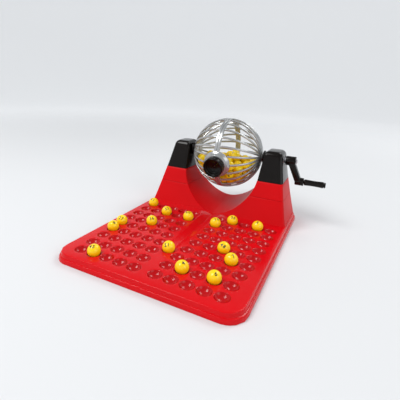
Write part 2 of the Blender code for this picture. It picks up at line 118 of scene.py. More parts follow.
def join(parts: Sequence[Surface]) -> Surface:
    """Puts surfaces into one, without merging their points.

    Args:
        parts: The surfaces, in order.

    Returns:
        One surface that holds them all.
    """
    faces: list[Sequence[int]] = []
    slots: list[int] = []
    start = 0
    for part in parts:
        faces.extend((np.asarray(face) + start).tolist() for face in part.faces)
        slots.extend(part.slots or [0] * len(part.faces))
        start += len(part.points)
    return Surface(np.concatenate([part.points for part in parts]), faces, slots)


def woven(grid: np.ndarray, close_u: bool = False, close_v: bool = False, caps: bool = False) -> Surface:
    """Quads over a grid of points; a face's normal is the u step crossed with the v step.

    Args:
        grid: Points as an array of shape (u, v, 3).
        close_u: Whether the last u row joins the first.
        close_v: Whether the last v column joins the first.
        caps: Whether the first and the last v column are filled, for a grid that is closed in u.

    Returns:
        The surface.
    """
    nu, nv = grid.shape[:2]
    steps_u, steps_v = np.arange(nu if close_u else nu - 1), np.arange(nv if close_v else nv - 1)
    i, j = np.meshgrid(steps_u, steps_v, indexing="ij")
    k, m = (i + 1) % nu, (j + 1) % nv
    quads = np.stack([i * nv + j, k * nv + j, k * nv + m, i * nv + m], axis=-1).reshape(-1, 4).tolist()
    if caps:
        quads.append([u * nv for u in range(nu - 1, -1, -1)])
        quads.append([u * nv + nv - 1 for u in range(nu)])
    return Surface(grid.reshape(-1, 3), quads)


def arcs_at(corners: np.ndarray, wanted: np.ndarray, steps: int) -> np.ndarray:
    """Rounds each corner of closed outlines with a quadratic arc: the corner is its control point.

    Args:
        corners: Outlines of shape (outlines, corners, axes).
        wanted: How far from each corner its arc starts, cut to under half of a short side.
        steps: Segments in an arc.

    Returns:
        Points of shape (outlines, corners, steps + 1, axes).
    """
    before = np.roll(corners, 1, axis=1) - corners
    after = np.roll(corners, -1, axis=1) - corners
    lengths = [np.linalg.norm(way, axis=2, keepdims=True) for way in (before, after)]
    reach = np.minimum(wanted, ARC_SHARE * np.minimum(*lengths))
    start, end = (
        (corners + way / np.maximum(length, TINY) * reach)[:, :, None]
        for way, length in zip((before, after), lengths)
    )
    t = np.linspace(0, 1, steps + 1)[None, None, :, None]
    return (1 - t) ** 2 * start + 2 * t * (1 - t) * corners[:, :, None] + t**2 * end


def filleted(outline: Pairs | np.ndarray, radius: float, steps: int = 3, closed: bool = True) -> np.ndarray:
    """Rounds the corners of a flat outline with quadratic arcs.

    Args:
        outline: Corners in order, in millimetres.
        radius: How far from a corner its arc starts, in millimetres.
        steps: Segments in an arc.
        closed: Whether the outline returns to its start; the ends of an open one stay sharp.

    Returns:
        The rounded outline's points, in metres.
    """
    corners = np.asarray(outline, float) * MM
    arcs = arcs_at(corners[None], np.full((1, len(corners), 1), radius * MM), steps)[0]
    if closed:
        return arcs.reshape(-1, 2)
    return np.concatenate([corners[:1], arcs[1:-1].reshape(-1, 2), corners[-1:]])


def rounded_ring(corners: np.ndarray, radii: np.ndarray, steps: int = 6) -> np.ndarray:
    """Rings of four-sided sections whose corners are quadratic arcs.

    Args:
        corners: Shape (levels, 4, 3), counter-clockwise from above.
        radii: How far from each corner its arc starts, of shape (4,) or (levels, 4).
        steps: Segments in an arc.

    Returns:
        Points of shape (around, levels, 3), ready for woven.
    """
    wanted = np.broadcast_to(radii, corners.shape[:2])[..., None]
    return arcs_at(corners, wanted, steps).reshape(len(corners), -1, 3).transpose(1, 0, 2)


def turned(
    profile: np.ndarray, origin: Sequence[float], axis: Sequence[float], steps: int = 48, ring: bool = True
) -> Surface:
    """Turns a profile about an axis: out along a circle by its radius, up the axis by its height.

    Args:
        profile: (radius, height) points that climb the outer side.
        origin: A point on the axis, at height 0.
        axis: The axis's direction, of length 1.
        steps: Points round the circle.
        ring: Whether the profile closes on itself; otherwise its ends lie on the axis, as flat discs.

    Returns:
        The turned surface.
    """
    along = np.asarray(axis, float)
    helper = np.array([0.0, 0, 1]) if abs(along[2]) < 0.9 else np.array([0.0, 1, 0])
    first = np.cross(along, helper)
    first /= np.linalg.norm(first)
    second = np.cross(along, first)
    turn = np.linspace(0, CIRCLE, steps, endpoint=False)[:, None, None]
    points = profile if ring else profile[1:-1]
    radius, height = points[None, :, 0, None], points[None, :, 1, None]
    spoke = np.cos(turn) * first + np.sin(turn) * second
    grid = np.asarray(origin) + spoke * radius + along * height
    return woven(grid, close_u=True, close_v=ring, caps=not ring)


def make(
    name: str, surface: Surface, finishes: Sequence[bpy.types.Material], sharp: float = 38
) -> bpy.types.Object:
    """Makes an object at the origin from a surface.

    Args:
        name: The piece's name.
        surface: Its points and faces.
        finishes: Materials by slot.
        sharp: Angle in degrees past which an edge stays sharp.

    Returns:
        The linked object.
    """
    mesh = bpy.data.meshes.new(name)
    mesh.from_pydata(surface.points.tolist(), [], [list(map(int, face)) for face in surface.faces])
    mesh.shade_smooth()
    for finish in finishes:
        mesh.materials.append(finish)
    if surface.slots:
        mesh.polygons.foreach_set("material_index", surface.slots)
    mesh.set_sharp_from_angle(angle=math.radians(sharp))
    obj = bpy.data.objects.new(name, mesh)
    bpy.context.scene.collection.objects.link(obj)
    LOG.info("%s: %d faces", name, len(mesh.polygons))
    return obj


def place(obj: bpy.types.Object, body: Body, stands_for: str) -> None:
    """Hands a finished piece to the frame.

    Args:
        obj: The piece.
        body: The body that it rides on.
        stands_for: The CAD node that it replaces.
    """
    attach(obj, body.value)
    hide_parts(stands_for)


# Finishes


def new_group(name: str, inputs: dict[str, float], outputs: Sequence[str]) -> bpy.types.NodeTree:
    """Starts a shader node group.

    Args:
        name: The group's name.
        inputs: Number inputs and their usual values.
        outputs: Names of its number outputs.

    Returns:
        The group, with its input and output nodes named "in" and "out".
    """
    tree = bpy.data.node_groups.new(name, "ShaderNodeTree")
    for label, value in inputs.items():
        socket = tree.interface.new_socket(label, in_out="INPUT", socket_type="NodeSocketFloat")
        socket.default_value = value
    for label in outputs:
        tree.interface.new_socket(label, in_out="OUTPUT", socket_type="NodeSocketFloat")
    tree.nodes.new("NodeGroupInput").name = "in"
    tree.nodes.new("NodeGroupOutput").name = "out"
    return tree


def node(
    tree: bpy.types.NodeTree, kind: str, inputs: dict[str | int, object], **settings: object
) -> bpy.types.Node:
    """Adds a node; each input is a value or another node's output socket.

    Args:
        tree: The tree that takes the node.
        kind: The node's type name, without its common first part.
        inputs: Values or output sockets by input name or index.
        settings: Attributes to set on the node.

    Returns:
        The node.
    """
    made = tree.nodes.new(f"ShaderNode{kind}")
    for key, value in settings.items():
        setattr(made, key, value)
    for key, value in inputs.items():
        fill(tree, made.inputs[key], value)
    return made


def fill(tree: bpy.types.NodeTree, socket: bpy.types.NodeSocket, value: object) -> None:
    """Sets an input socket to a value, or links it where the value is an output socket.

    Args:
        tree: The tree that holds the socket.
        socket: The input.
        value: A value or an output socket.
    """
    if isinstance(value, bpy.types.NodeSocket):
        tree.links.new(value, socket)
    else:
        socket.default_value = value


def object_place(tree: bpy.types.NodeTree) -> bpy.types.NodeSocket:
    """Adds a texture coordinate node and gives the place on the object."""
    return node(tree, "TexCoord", {}).outputs["Object"]


def noise(
    tree: bpy.types.NodeTree, where: bpy.types.NodeSocket, scale: object, detail: float, roughness: float = 0.5
) -> bpy.types.NodeSocket:
    """Adds a noise texture.

    Args:
        tree: The tree that takes the node.
        where: The place that it reads.
        scale: A value, or a socket that gives it.
        detail: How many finer layers it has.
        roughness: How strong they are.

    Returns:
        The noise's value.
    """
    inputs = {"Vector": where, "Scale": scale, "Detail": detail, "Roughness": roughness}
    return node(tree, "TexNoise", inputs).outputs["Fac"]


def worked(tree: bpy.types.NodeTree, operation: str, one: object, other: object) -> bpy.types.NodeSocket:
    """Adds a Math node on two values or sockets and gives its result."""
    return node(tree, "Math", {0: one, 1: other}, operation=operation).outputs[0]


def ramp(
    tree: bpy.types.NodeTree,
    value: bpy.types.NodeSocket,
    given: tuple[float, float],
    wanted: tuple[float, float] = (0.0, 1.0),
    smooth: bool = False,
) -> bpy.types.NodeSocket:
    """Adds a Map Range node, which holds its ends.

    Args:
        tree: The tree that takes the node.
        value: The value to map.
        given: Its range before.
        wanted: Its range after.
        smooth: Whether it eases in and out.

    Returns:
        The mapped value.
    """
    inputs = {"Value": value, "From Min": given[0], "From Max": given[1], "To Min": wanted[0], "To Max": wanted[1]}
    kind = "SMOOTHSTEP" if smooth else "LINEAR"
    return node(tree, "MapRange", inputs, interpolation_type=kind).outputs["Result"]


def blended(
    tree: bpy.types.NodeTree, share: bpy.types.NodeSocket, first: object, second: object
) -> bpy.types.NodeSocket:
    """Adds a Mix node between two colours; of its sockets with the same name, the colour ones are used.

    Args:
        tree: The tree that takes the node.
        share: How much of the second colour shows.
        first: A colour or a socket.
        second: A colour or a socket.

    Returns:
        The mixed colour.
    """
    mix = node(tree, "Mix", {"Factor": share}, data_type="RGBA")
    for letter, colour in (("A", first), ("B", second)):
        socket = next(way for way in mix.inputs if way.name == letter and way.type == "RGBA")
        fill(tree, socket, colour)
    return next(way for way in mix.outputs if way.type == "RGBA")


class Effects:
    """Node groups that several finishes use, each built once."""

    def __init__(self) -> None:
        """Builds the groups."""
        self.grain = self._moulding_grain()
        self.scuffs = self._scuffs()
        self.dust = self._settled_dust()

    @staticmethod
    def _moulding_grain() -> bpy.types.NodeTree:
        """Low flow waves and a fine grain of a moulded surface, as a height, and a slow drift of tone."""
        tree = new_group("moulding_grain", {"Scale": 900.0, "Waves": 0.6}, ("Height", "Tone"))
        given, out = tree.nodes["in"].outputs, tree.nodes["out"].inputs
        where = object_place(tree)
        fine = worked(tree, "MULTIPLY", noise(tree, where, given["Scale"], 3.0), 0.12)
        waves = worked(tree, "MULTIPLY", noise(tree, where, 38.0, 1.0, 0.3), given["Waves"])
        fill(tree, out["Height"], worked(tree, "ADD", waves, fine))
        fill(tree, out["Tone"], noise(tree, where, 14.0, 2.0))
        return tree

    @staticmethod
    def _scuffs() -> bpy.types.NodeTree:
        """Hairline scuffs from handling: noise stretched along two directions, kept only at its peaks."""
        tree = new_group("handling_scuffs", {"Amount": 0.5}, ("Mask",))
        where = object_place(tree)
        masks = []
        for turn, scale in ((0.5, (60, 1400, 300)), (-0.9, (1500, 80, 400))):
            laid = node(tree, "Mapping", {"Vector": where, "Rotation": (0.1, 0.2, turn), "Scale": scale})
            masks.append(ramp(tree, noise(tree, laid.outputs[0], 1.0, 2.0), (0.62, 0.78), smooth=True))
        worn = ramp(tree, noise(tree, where, 30.0, 2.0), (0.42, 0.7))
        seen = worked(tree, "MULTIPLY", worked(tree, "MAXIMUM", *masks), worn)
        mask = worked(tree, "MULTIPLY", seen, tree.nodes["in"].outputs["Amount"])
        fill(tree, tree.nodes["out"].inputs["Mask"], mask)
        return tree

    @staticmethod
    def _settled_dust() -> bpy.types.NodeTree:
        """Dust that lies on faces that look up, broken by a cloudy noise."""
        tree = new_group("settled_dust", {"Amount": 0.3}, ("Mask",))
        facing = node(tree, "NewGeometry", {}).outputs["Normal"]
        up = node(tree, "SeparateXYZ", {"Vector": facing}).outputs["Z"]
        broken = ramp(tree, noise(tree, object_place(tree), 90.0, 6.0, 0.7), (0.45, 0.8))
        lain = worked(tree, "MULTIPLY", ramp(tree, up, (0.5, 1.0)), broken)
        mask = worked(tree, "MULTIPLY", lain, tree.nodes["in"].outputs["Amount"])
        fill(tree, tree.nodes["out"].inputs["Mask"], mask)
        return tree


@dataclass(frozen=True)
class Finish:
    """A moulded plastic or plated metal finish.

    Args:
        name: The material's name.
        colour: Linear base colour.
        deep: The colour that the slow drift of tone leans to.
        roughness: Roughness where the surface is clean.
        metallic: How metallic the surface is.
        shine: Specular level of the plastic.
        coat: Weight of the clear, glossy skin.
        relief: Strength of the relief.
        scuffs: How much handling shows.
        dust: How much dust shows.
        grain: Scale of the fine grain.
        scuff_roughness: What a scuff adds to the roughness.
        dust_roughness: What dust adds to the roughness.
        dust_colour: Linear colour of dust.
        coat_roughness: Roughness of the clear skin.
        relief_depth: Depth of the relief in metres.
    """

    name: str
    colour: Triple
    deep: Triple
    roughness: float
    metallic: float = 0.0
    shine: float = 0.5
    coat: float = 0.0
    relief: float = 0.06
    scuffs: float = 0.3
    dust: float = 0.01
    grain: float = 900.0
    scuff_roughness: float = 0.3
    dust_roughness: float = 0.4
    dust_colour: Triple = (0.55, 0.5, 0.46)
    coat_roughness: float = 0.05
    relief_depth: float = 0.4 * MM

    def build(self, effects: Effects) -> bpy.types.Material:
        """Builds the material.

        Args:
            effects: The shared node groups.

        Returns:
            The material.
        """
        made = bpy.data.materials.new(self.name)
        made.use_nodes = True
        tree = made.node_tree
        grain = node(tree, "Group", {"Scale": self.grain}, node_tree=effects.grain)
        scuffs = node(tree, "Group", {"Amount": self.scuffs}, node_tree=effects.scuffs)
        dust = node(tree, "Group", {"Amount": self.dust}, node_tree=effects.dust).outputs["Mask"]
        tone = blended(tree, grain.outputs["Tone"], (*self.colour, 1), (*self.deep, 1))
        worn = (self.roughness, min(1.0, self.roughness + self.scuff_roughness))
        rough = ramp(tree, scuffs.outputs["Mask"], (0.0, 1.0), worn)
        matt = worked(tree, "MULTIPLY", dust, self.dust_roughness)
        bump = {"Height": grain.outputs["Height"], "Distance": self.relief_depth, "Strength": self.relief}
        sockets = {
            "Base Color": blended(tree, dust, tone, (*self.dust_colour, 1)),
            "Roughness": worked(tree, "ADD", rough, matt),
            "Normal": node(tree, "Bump", bump).outputs["Normal"],
            "Metallic": self.metallic,
            "Coat Weight": self.coat,
            "Coat Roughness": self.coat_roughness,
            "Specular IOR Level": self.shine,
        }
        for name, value in sockets.items():
            fill(tree, tree.nodes["Principled BSDF"].inputs[name], value)
        return made


@dataclass(frozen=True)
class Palette:
    """The materials of the object, by what they are made for."""

    red: bpy.types.Material
    stand: bpy.types.Material
    # The seats' darker red: painted shade in their bowls.
    seat: bpy.types.Material
    black: bpy.types.Material
    silver: bpy.types.Material
    yellow: bpy.types.Material
    ink: bpy.types.Material
    steel: bpy.types.Material

    @staticmethod
    def build() -> "Palette":
        """Builds all finishes."""
        effects = Effects()
        finishes = (
            Finish("tray_red", (0.70, 0.002, 0.006), (0.60, 0.0015, 0.005), 0.19, shine=0.16, coat=0.03,
                   scuffs=0.25),
            Finish("stand_red", (0.66, 0.002, 0.005), (0.56, 0.0015, 0.004), 0.4, shine=0.1, scuffs=0.2, dust=0.0),
            # The seats' bowls get a darker red than the deck: painted shade in the hollows of the one red moulding.
            Finish("seat_red_painted_shade", (0.54, 0.0012, 0.004), (0.45, 0.001, 0.003), 0.17, shine=0.24, coat=0.06,
                   scuffs=0.2),
            Finish("cap_black", (0.004, 0.003, 0.0025), (0.007, 0.005, 0.004), 0.16, shine=0.16, coat=0.05),
            Finish("cage_silver", (0.47, 0.48, 0.48), (0.36, 0.37, 0.37), 0.25, metallic=0.6, relief=0.1,
                   scuffs=0.35),
            Finish("ball_yellow", (1.0, 0.74, 0.004), (1.0, 0.62, 0.003), 0.22, shine=0.4, coat=0.05, relief=0.04),
            Finish("number_ink", (0.012, 0.012, 0.014), (0.02, 0.02, 0.022), 0.45, relief=0.1, dust=0.0),
            Finish("zinc_steel", (0.56, 0.56, 0.58), (0.47, 0.47, 0.5), 0.3, metallic=1.0, relief=0.15, scuffs=0.7,
                   dust=0.15),
        )
        return Palette(*(finish.build(effects) for finish in finishes))


# Sub-assemblies


@dataclass
class Layout:
    """Driving sizes that the sub-assemblies share, in metres; the axle's height comes from the frame."""

    axis_z: float
    deck_z: float = 10 * MM
    cage_r: float = 55 * MM
    ball_r: float = 7.5 * MM
    outlet_drop: float = math.radians(11)

    @property
    def outlet(self) -> np.ndarray:
        """Direction of the outlet: forwards, and down by its drop."""
        return np.array([0, -math.cos(self.outlet_drop), -math.sin(self.outlet_drop)])

    @property
    def centre(self) -> np.ndarray:
        """Centre of the cage."""
        return np.array([0, 0, self.axis_z])

    def spokes(self, turn: np.ndarray) -> np.ndarray:
        """Directions away from the axle, turned up from the outlet's by an angle each."""
        lift = turn - self.outlet_drop
        return np.stack([np.zeros_like(lift), -np.cos(lift), np.sin(lift)], axis=-1)


@dataclass
class Tray:
    """The base tray: a deck with ball seats and a valley, inside a stepped rim.

    bowl_arc holds the angles of a bowl's first and last ring, and how many there are.
    The pairs are in millimetres: lip holds a seat lip's rings as (out from the mouth, below the deck), the valley's
    tables hold (y, half width) and (y, depth), and edge holds the rim's rings as (inset, height).
    """

    layout: Layout
    rear_y: float = 36 * MM
    front_y: float = -264 * MM
    rear_half: float = 113 * MM
    front_half: float = 111 * MM
    corner: float = 22 * MM
    rear_corner: float = 18 * MM
    pitch: float = 17.9 * MM
    row_pitch: float = 20.9 * MM
    first_row: float = -241 * MM
    inner_x: float = 12.9 * MM
    spread: float = 1.75 * MM
    spread_rows: float = 4.5
    columns: int = 5
    rows: int = 9
    side_steps: int = 8
    strip_steps: int = 32
    mouth_r: float = 8.15 * MM
    seat_depth: float = 5.0 * MM
    # Ring of the seat where the darker red of painted shade starts.
    shaded_ring: int = 3
    rib_half: float = 2.8 * MM
    hollow_z: float = 3.2 * MM
    valley_end: float = -190 * MM
    bowl_arc: tuple[float, float, int] = (0.2, math.pi / 2 - 0.1, 6)
    lip: Pairs = ((0.65, 0), (0.32, 0.03), (0.1, 0.12), (-0.04, 0.28))
    valley_halves: Pairs = ((-190, 6.5), (-75, 11.2), (-62, 13), (-50, 18))
    valley_depths: Pairs = ((-190, 4.2), (-50, 3.6), (24, 3.6), (30, 0))
    edge: Pairs = (
        (4.9, 10), (4.5, 9.95), (4.15, 9.8), (3.9, 9.5), (3.75, 9.1), (3.2, 5.9), (3.05, 5.55), (2.75, 5.4),
        (2.1, 5.33), (1.75, 5.2), (1.5, 4.85), (0.75, 0.6), (0.8, 0.2), (1.1, 0), (2.2, 0), (2.5, 0.3),
        (3, 3.1), (3.6, 3.2),
    )

    @property
    def field_front(self) -> float:
        """Y of the front edge of the seats' fields."""
        return self.first_row - self.row_pitch / 2

    @property
    def field_rear(self) -> float:
        """Y of the rear edge of the seats' fields."""
        return self.first_row + (self.rows - 0.5) * self.row_pitch

    @property
    def strip(self) -> np.ndarray:
        """Places across the middle strip, from -1 to 1."""
        return np.linspace(-1, 1, self.strip_steps + 1)

    def seat(self, side: int, column: int, row: int) -> np.ndarray:
        """Centre of a seat's mouth on the deck."""
        x = self.inner_x + self.spread * min(row, self.spread_rows) + column * self.pitch
        return np.array([side * x, self.first_row + row * self.row_pitch, self.layout.deck_z])

    def line_x(self, y: np.ndarray, line: np.ndarray | float) -> np.ndarray:
        """X of a line between columns: straight at the rear, drawing in towards the front."""
        row = (y - self.first_row) / self.row_pitch
        return self.inner_x + self.spread * np.minimum(row, self.spread_rows) + (line - 0.5) * self.pitch

    def columns_at(self, y: float) -> np.ndarray:
        """X of each column of points across the deck at a y: one field, the middle strip, the other field."""
        outer = self.line_x(np.array([y]), np.linspace(0, self.columns, self.columns * self.side_steps + 1))
        return np.concatenate([-outer[:0:-1], self.strip * outer[0], outer[1:]])

    def bowl_depth(self, away: np.ndarray) -> np.ndarray:
        """Depth of a seat's bowl, which is part of a sphere, at distances from its middle."""
        bowl = (self.mouth_r**2 + self.seat_depth**2) / (2 * self.seat_depth)
        return self.seat_depth - (bowl - np.sqrt(np.maximum(bowl**2 - away**2, 0)))

    def seat_rings(self) -> tuple[np.ndarray, np.ndarray]:
        """A seat's rings: a flat edge, a rolled lip, then the bowl.

        Returns:
            Their radii and their depths.
        """
        out, drop = np.array(self.lip).T * MM
        inner = self.mouth_r * np.cos(np.linspace(*self.bowl_arc))
        return np.concatenate([self.mouth_r + out, inner]), np.concatenate([drop, self.bowl_depth(inner)])

    def cells(self) -> Surface:
        """Each seat in its cell: rings that change from the cell's outline to the round mouth. The lip's inner rings
        and the bowl take a darker red: painted shade in the hollow.
        """
        n = self.side_steps
        t = np.arange(n) / n
        one, zero = np.ones(n), np.zeros(n)
        u = np.concatenate([t, one, 1 - t, zero])
        v = np.concatenate([zero, t, one, 1 - t])
        angle = np.arctan2(v - 0.5, u - 0.5)[:, None]
        radii, depths = self.seat_rings()
        flat = np.broadcast_to(-depths, (len(angle), len(depths)))
        rings = np.stack([np.cos(angle) * radii, np.sin(angle) * radii, flat], axis=-1)
        parts = []
        for side, column, row in itertools.product((-1, 1), range(self.columns), range(self.rows)):
            y = self.first_row + (row - 0.5 + v) * self.row_pitch
            share = column + u if side > 0 else column + 1 - u
            edge = np.stack([side * self.line_x(y, share), y, np.full_like(y, self.layout.deck_z)], axis=1)
            grid = np.concatenate([edge[:, None], self.seat(side, column, row) + rings], axis=1)
            cell = woven(grid, close_u=True)
            last = grid.shape[1] - 1
            # From the lip's roll inwards, and on the bottom face, the second slot's darker red paints the shade in
            # the bowl.
            cell.slots = [int(face % last >= self.shaded_ring) for face in range(len(cell.faces))] + [1]
            cell.faces.append([i * (last + 1) + last for i in range(len(angle))])
            parts.append(cell)
        return join(parts)

    def valley(self, x: np.ndarray, y: np.ndarray) -> np.ndarray:
        """Height of the middle strip: a V-shaped valley with a crease on x = 0, and a seat at its front end.

        Args:
            x: Places across.
            y: Places along, of the same shape.

        Returns:
            The heights.
        """
        tables = (self.valley_halves, self.valley_depths)
        half, depth = (np.interp(y, *(np.array(table).T * MM)) for table in tables)
        groove = depth * np.clip(1 - np.abs(x) / half, 0, 1) * (y > self.valley_end)
        away = np.hypot(x, y - self.valley_end)
        seat = np.where(away < self.mouth_r, self.bowl_depth(away), 0)
        return self.layout.deck_z - np.maximum(groove, seat)

    def middle(self) -> Surface:
        """The strip between the two fields of seats."""
        y = np.linspace(self.field_front, self.field_rear, self.rows * self.side_steps * 3 + 1)
        x = self.strip[:, None] * self.line_x(y, 0)[None]
        yy = np.broadcast_to(y, x.shape)
        return woven(np.stack([x, yy, self.valley(x, yy)], axis=-1))

    def rear(self) -> tuple[Surface, np.ndarray, np.ndarray]:
        """The deck behind the seats, under the stand.

        Returns:
            The surface, its columns' x and its rows' y.
        """
        y = np.concatenate([np.linspace(self.field_rear, -46 * MM, 10), np.linspace(-40 * MM, 30 * MM, 12)])
        x = self.columns_at(self.field_rear)
        xx, yy = np.meshgrid(x, y, indexing="ij")
        return woven(np.stack([xx, yy, self.valley(xx, yy)], axis=-1)), x, y

    def rim_place(self, loop: np.ndarray, inset: float) -> np.ndarray:
        """Moves a loop of points out to the tray's outline, a rectangle with round corners, narrower in front.

        Args:
            loop: Points of shape (n, 2).
            inset: Distance in from the outline at the table.

        Returns:
            The places on the outline, of the same shape.
        """
        x, y = loop.T
        radius = np.where(y < (self.front_y + self.rear_y) / 2, self.corner, self.rear_corner) - inset
        width = np.interp(y, [self.front_y, self.rear_y], [self.front_half, self.rear_half])
        core_x = width - inset - radius
        core_y = np.clip(y, self.front_y + self.corner, self.rear_y - self.rear_corner)
        near_x = np.clip(x, -core_x, core_x)
        away = np.stack([x - near_x, y - core_y], axis=1)
        away /= np.maximum(np.linalg.norm(away, axis=1, keepdims=True), TINY)
        return np.stack([near_x, core_y], axis=1) + away * radius[:, None]

    def rim(self, columns: np.ndarray, rows: np.ndarray) -> Surface:
        """The flat border of the deck, the stepped rim, the foot and the underside, as rings round the deck.

        Args:
            columns: X of the rear deck's columns.
            rows: Y of the rear deck's rows.

        Returns:
            The surface.
        """
        low, high = self.field_front, self.field_rear
        front_x = self.columns_at(low)
        side_y = np.concatenate([np.linspace(low, high, self.rows * self.side_steps + 1)[1:], rows[1:]])
        side_x = np.where(side_y < high, self.line_x(side_y, self.columns), columns[-1])
        loop = np.concatenate(
            [
                np.stack([front_x, np.full_like(front_x, low)], axis=1),
                np.stack([side_x, side_y], axis=1),
                np.stack([columns[-2::-1], np.full(len(columns) - 1, rows[-1])], axis=1),
                np.stack([-side_x[-2::-1], side_y[-2::-1]], axis=1),
            ]
        )
        rings = [np.column_stack([loop, np.full(len(loop), self.layout.deck_z)])]
        for inset, height in self.edge:
            rings.append(np.column_stack([self.rim_place(loop, inset * MM), np.full(len(loop), height * MM)]))
        grid = np.stack(rings[::-1], axis=1)
        surface = woven(grid, close_u=True)
        surface.faces.append([i * grid.shape[1] for i in range(len(loop) - 1, -1, -1)])
        return surface

    def cross_rib(self) -> Surface:
        """The flat rib across the underside, level with the foot: a low block with softened corners."""
        soft, foot_inside, round_r = 0.2 * MM, 3 * MM, 0.8 * MM
        plan = np.array([(-1, -1), (1, -1), (1, 1), (-1, 1)]) * (self.rear_half - foot_inside, self.rib_half)
        levels = ((0, soft), (0.25 * MM, 0), (self.hollow_z + soft, 0))
        corners = np.array([[(*(spot - np.sign(spot) * inset), z) for spot in plan] for z, inset in levels])
        return woven(rounded_ring(corners, np.full(4, round_r)), close_u=True, caps=True)

    def build(self, palette: Palette) -> None:
        """Makes the tray and hands it to the frame."""
        rear, columns, rows = self.rear()
        shell = join([self.cells(), self.middle(), rear, self.rim(columns, rows), self.cross_rib()])
        # The second slot, the darker seat red, paints the shade in the seats' bowls.
        place(make("tray_shell", shell, [palette.red, palette.seat]), Body.STAND, "base_tray")


@dataclass
class Stand:
    """The lower stand with its U-shaped chute, the uprights and their black caps.

    The outer, front and rear faces start at the foot sizes on the deck and lean in by the lean sizes at the top.
    """

    layout: Layout
    top: float = 108 * MM
    seam: float = 42.6 * MM
    cap_seam: float = 65 * MM
    foot_half: float = 107 * MM
    lean: float = 25 * MM
    bow: float = 5 * MM
    foot_front: float = 50.5 * MM
    front_lean: float = 33.5 * MM
    foot_back: float = 27 * MM
    back_lean: float = 9 * MM
    saddle_half: float = 58 * MM
    splay: float = 0.1
    spring_z: float = 68 * MM
    front_floor: float = 7.6 * MM
    rear_floor: float = 16.6 * MM
    root_z: float = 6 * MM
    power: float = 1.7
    corner: float = 4 * MM
    inner_edge: float = 1.4 * MM
    thin_share: float = 0.2
    soft: float = 0.2 * MM
    root_lap: float = 0.5 * MM
    waist: tuple[float, float] = (80 * MM, 90 * MM)
    crown: float = 6.5 * MM
    crown_inset: float = 4.8 * MM

    def risen(self, z: np.ndarray) -> np.ndarray:
        """How far up the stand a height is, from 0 on the deck to 1 at the top."""
        return (z - self.layout.deck_z) / (self.top - self.layout.deck_z)

    def outer(self, z: np.ndarray) -> np.ndarray:
        """Half the stand's width at a height: it leans in, a little less with height."""
        return self.foot_half - self.lean * self.risen(z) + self.bow * self.risen(z) ** 2

    def front(self, z: np.ndarray) -> np.ndarray:
        """Y of the sloping front face at a height."""
        return self.front_lean * self.risen(z) - self.foot_front

    def back(self, z: np.ndarray) -> np.ndarray:
        """Y of the rear face at a height."""
        return self.foot_back - self.back_lean * self.risen(z)

    def inner(self, z: np.ndarray, floor: float) -> np.ndarray:
        """Half the gap at a height: a superellipse below its springing, nearly straight above.

        Args:
            z: The heights.
            floor: Height of the bottom of the U.

        Returns:
            Half the gap at each.
        """
        drop = np.clip((self.spring_z - z) / (self.spring_z - floor), 0, 1)
        curve = self.saddle_half * np.maximum(0, 1 - drop**self.power) ** (1 / self.power)
        return np.where(z >= self.spring_z, self.saddle_half + self.splay * (z - self.spring_z), curve)

    def leg_corners(
        self, front_z: np.ndarray, rear_z: np.ndarray, outer_z: np.ndarray, inset: np.ndarray
    ) -> np.ndarray:
        """Corners of a leg's sections on the right: inner front, outer front, outer rear, inner rear.

        Args:
            front_z: Heights of the inner front corner.
            rear_z: Heights of the inner rear corner.
            outer_z: Heights of the outer corners.
            inset: How far each section is drawn in.

        Returns:
            Points of shape (levels, 4, 3).
        """
        outer_x = self.outer(outer_z) - inset
        corners = (
            (self.inner(front_z, self.front_floor) + inset, self.front(front_z) + inset, front_z),
            (outer_x, self.front(outer_z) + inset, outer_z),
            (outer_x, self.back(outer_z) - inset, outer_z),
            (self.inner(rear_z, self.rear_floor) + inset, self.back(rear_z) - inset, rear_z),
        )
        return np.stack([np.stack(corner, axis=1) for corner in corners], axis=1)

    @staticmethod
    def sided(grid: np.ndarray, side: Side) -> Surface:
        """A right-hand grid of rings as a closed block; the left one is mirrored and runs the other way round.

        Args:
            grid: Rings of the block on the right, ready for woven.
            side: Which side the block is for.

        Returns:
            The block.
        """
        if side is Side.LEFT:
            grid = grid[::-1] * np.array([-1.0, 1, 1])
        return woven(grid, close_u=True, caps=True)

    def cradle(self) -> Surface:
        """The lower stand: a leg on each side whose inner edge runs down the U to meet the other at the middle."""
        t = np.concatenate([[0], np.linspace(0, 1, 33)])
        top = self.seam - GAP / 2
        arc = 1 - np.cos(t * math.pi / 2)
        heights = [floor + (top - floor) * arc for floor in (self.front_floor, self.rear_floor)]
        heights.append(self.root_z + (top - self.root_z) * t)
        for line in heights:
            line[0] = self.root_z - self.root_lap
            line[-1] -= self.soft
        end = self.leg_corners(*(np.full(1, top) for _ in heights), np.full(1, self.soft))
        corners = np.concatenate([self.leg_corners(*heights, np.zeros_like(t)), end])
        edge = np.minimum(self.inner_edge, self.thin_share * corners[:, 0, 0])
        wide = np.full_like(edge, self.corner)
        grid = rounded_ring(corners, np.stack([edge, wide, wide, edge], axis=1))
        return join([self.sided(grid, side) for side in Side])

    def shell(
        self, side: Side, levels: Sequence[tuple[float, float]], inner_corner: float, corner: float
    ) -> Surface:
        """A closed tapered block on one side.

        Args:
            side: Which side it stands on.
            levels: Its sections as (height, inset).
            inner_corner: Reach of the round of the corners by the cage.
            corner: Reach of the round of the other corners.

        Returns:
            The block.
        """
        z, inset = np.array(levels).T
        radii = np.array([inner_corner, corner, corner, inner_corner])
        return self.sided(rounded_ring(self.leg_corners(z, z, z, inset), radii, steps=8), side)

    def upright(self, side: Side) -> Surface:
        """The red upright between the lower stand and the cap.

        Args:
            side: Which side it stands on.

        Returns:
            The upright.
        """
        low, high = self.seam + GAP / 2, self.cap_seam - GAP / 2
        chamfer, rise = 0.25 * MM, 0.3 * MM
        levels = [(low, chamfer), *((z, 0.0) for z in np.linspace(low + rise, high - rise, 9)), (high, chamfer)]
        return self.shell(side, levels, self.inner_edge, self.corner)

